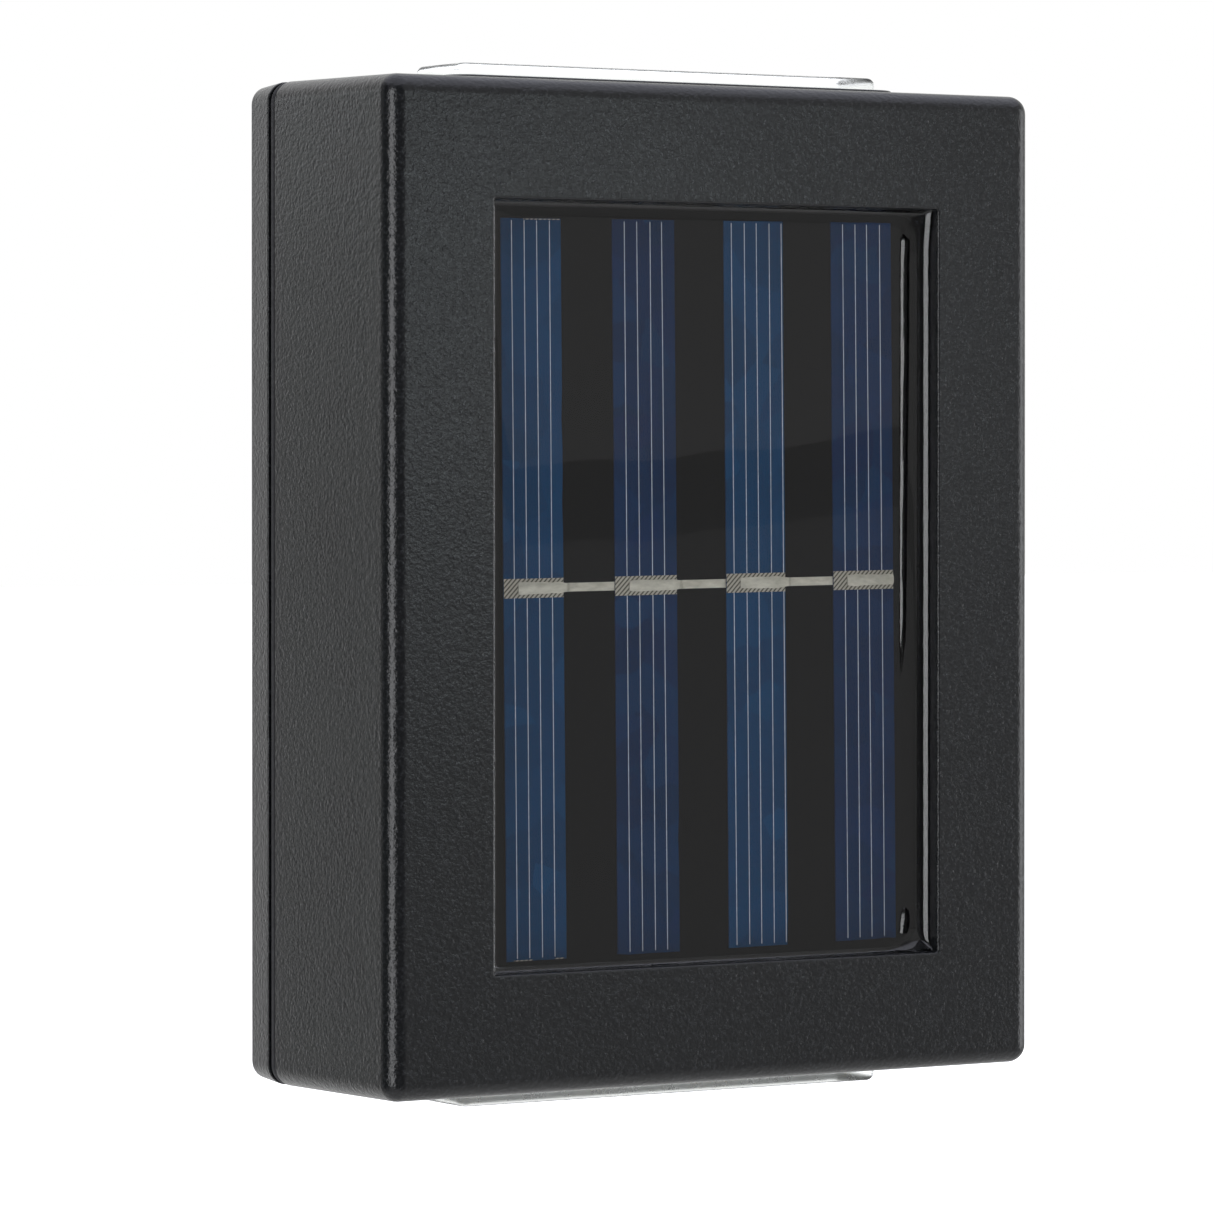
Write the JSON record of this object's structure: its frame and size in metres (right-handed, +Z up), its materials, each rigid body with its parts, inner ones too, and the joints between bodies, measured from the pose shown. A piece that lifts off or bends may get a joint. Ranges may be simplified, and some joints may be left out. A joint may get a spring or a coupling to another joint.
{
  "type": "solar wall light",
  "caption": "Compact solar-powered wall light: black box housing with a resin-potted solar panel in its front, clear lenses in its top and bottom and a rear cover with keyhole and slide switch.",
  "frame": {"origin": "centre of the flat back face, which lies against the wall", "axes": "+Y out of the back, into the wall; +Z up, through the top lens; +X to the right as seen from the front"},
  "size_m": [0.0822, 0.0302, 0.1108],
  "materials": {
    "black_abs": "fine-textured black ABS moulding",
    "seam_gasket": "dark grey elastomer",
    "clear_lens": "clear moulded polycarbonate",
    "lens_gasket": "soft black elastomer",
    "foam_tape": "white double-sided tape",
    "panel_board": "black laminate board",
    "potting_resin": "clear glossy epoxy",
    "silicon": "dark blue silicon with fine silver fingers",
    "tinned_ribbon": "tinned copper ribbon",
    "lamp_board": "white solder mask",
    "lamp": "yellow phosphor under clear silicone",
    "control_board": "green solder mask",
    "component": "black moulded epoxy",
    "capacitor_can": "bare aluminium can",
    "switch_body": "black moulded plastic",
    "switch_knob": "light grey moulded plastic",
    "battery_wrap": "shrink wrap",
    "contact_steel": "nickel-plated spring steel",
    "screw_steel": "plated steel",
    "red_lead": "PVC insulation",
    "black_lead": "PVC insulation"
  },
  "bodies": {
    "housing": {"battery_cell": "battery_wrap", "battery_lead_black": "black_lead", "battery_lead_red": "red_lead", "battery_minus_contact": "contact_steel", "battery_plus_contact": "contact_steel", "battery_spring": "contact_steel", "board_screw_1": "screw_steel", "board_screw_2": "screw_steel", "bottom_lamp_1": "lamp", "bottom_lamp_2": "lamp", "bottom_lamp_3": "lamp", "bottom_lamp_board": "lamp_board", "bottom_lamp_lead_black": "black_lead", "bottom_lamp_lead_red": "red_lead", "bottom_lens": "clear_lens", "bottom_lens_gasket": "lens_gasket", "capacitor": "capacitor_can", "cell_ribbon_1": "tinned_ribbon", "cell_ribbon_2": "tinned_ribbon", "cell_ribbon_3": "tinned_ribbon", "cell_ribbon_4": "tinned_ribbon", "control_board": "control_board", "control_chip": "component", "cover_screw_1": "screw_steel", "cover_screw_2": "screw_steel", "cover_screw_3": "screw_steel", "cover_screw_4": "screw_steel", "front_housing": "black_abs", "housing_gasket": "seam_gasket", "inductor": "component", "panel_adhesive": "foam_tape", "panel_board": "panel_board", "panel_lead_black": "black_lead", "panel_lead_red": "red_lead", "panel_resin": "potting_resin", "rear_cover": "black_abs", "rectifier_diode": "component", "solar_cell_1": "silicon", "solar_cell_2": "silicon", "solar_cell_3": "silicon", "solar_cell_4": "silicon", "switch_body": "switch_body", "switch_lead_black": "black_lead", "switch_lead_red": "red_lead", "top_lamp_1": "lamp", "top_lamp_2": "lamp", "top_lamp_3": "lamp", "top_lamp_board": "lamp_board", "top_lamp_lead_black": "black_lead", "top_lamp_lead_red": "red_lead", "top_lens": "clear_lens", "top_lens_gasket": "lens_gasket"},
    "switch_knob": {"switch_knob": "switch_knob"}
  },
  "joints": [
    {"name": "power_switch_slide", "type": "slide", "parent": "housing", "child": "switch_knob", "axis": [1, 0, 0], "range_m": [0, 0.002]}
  ]
}
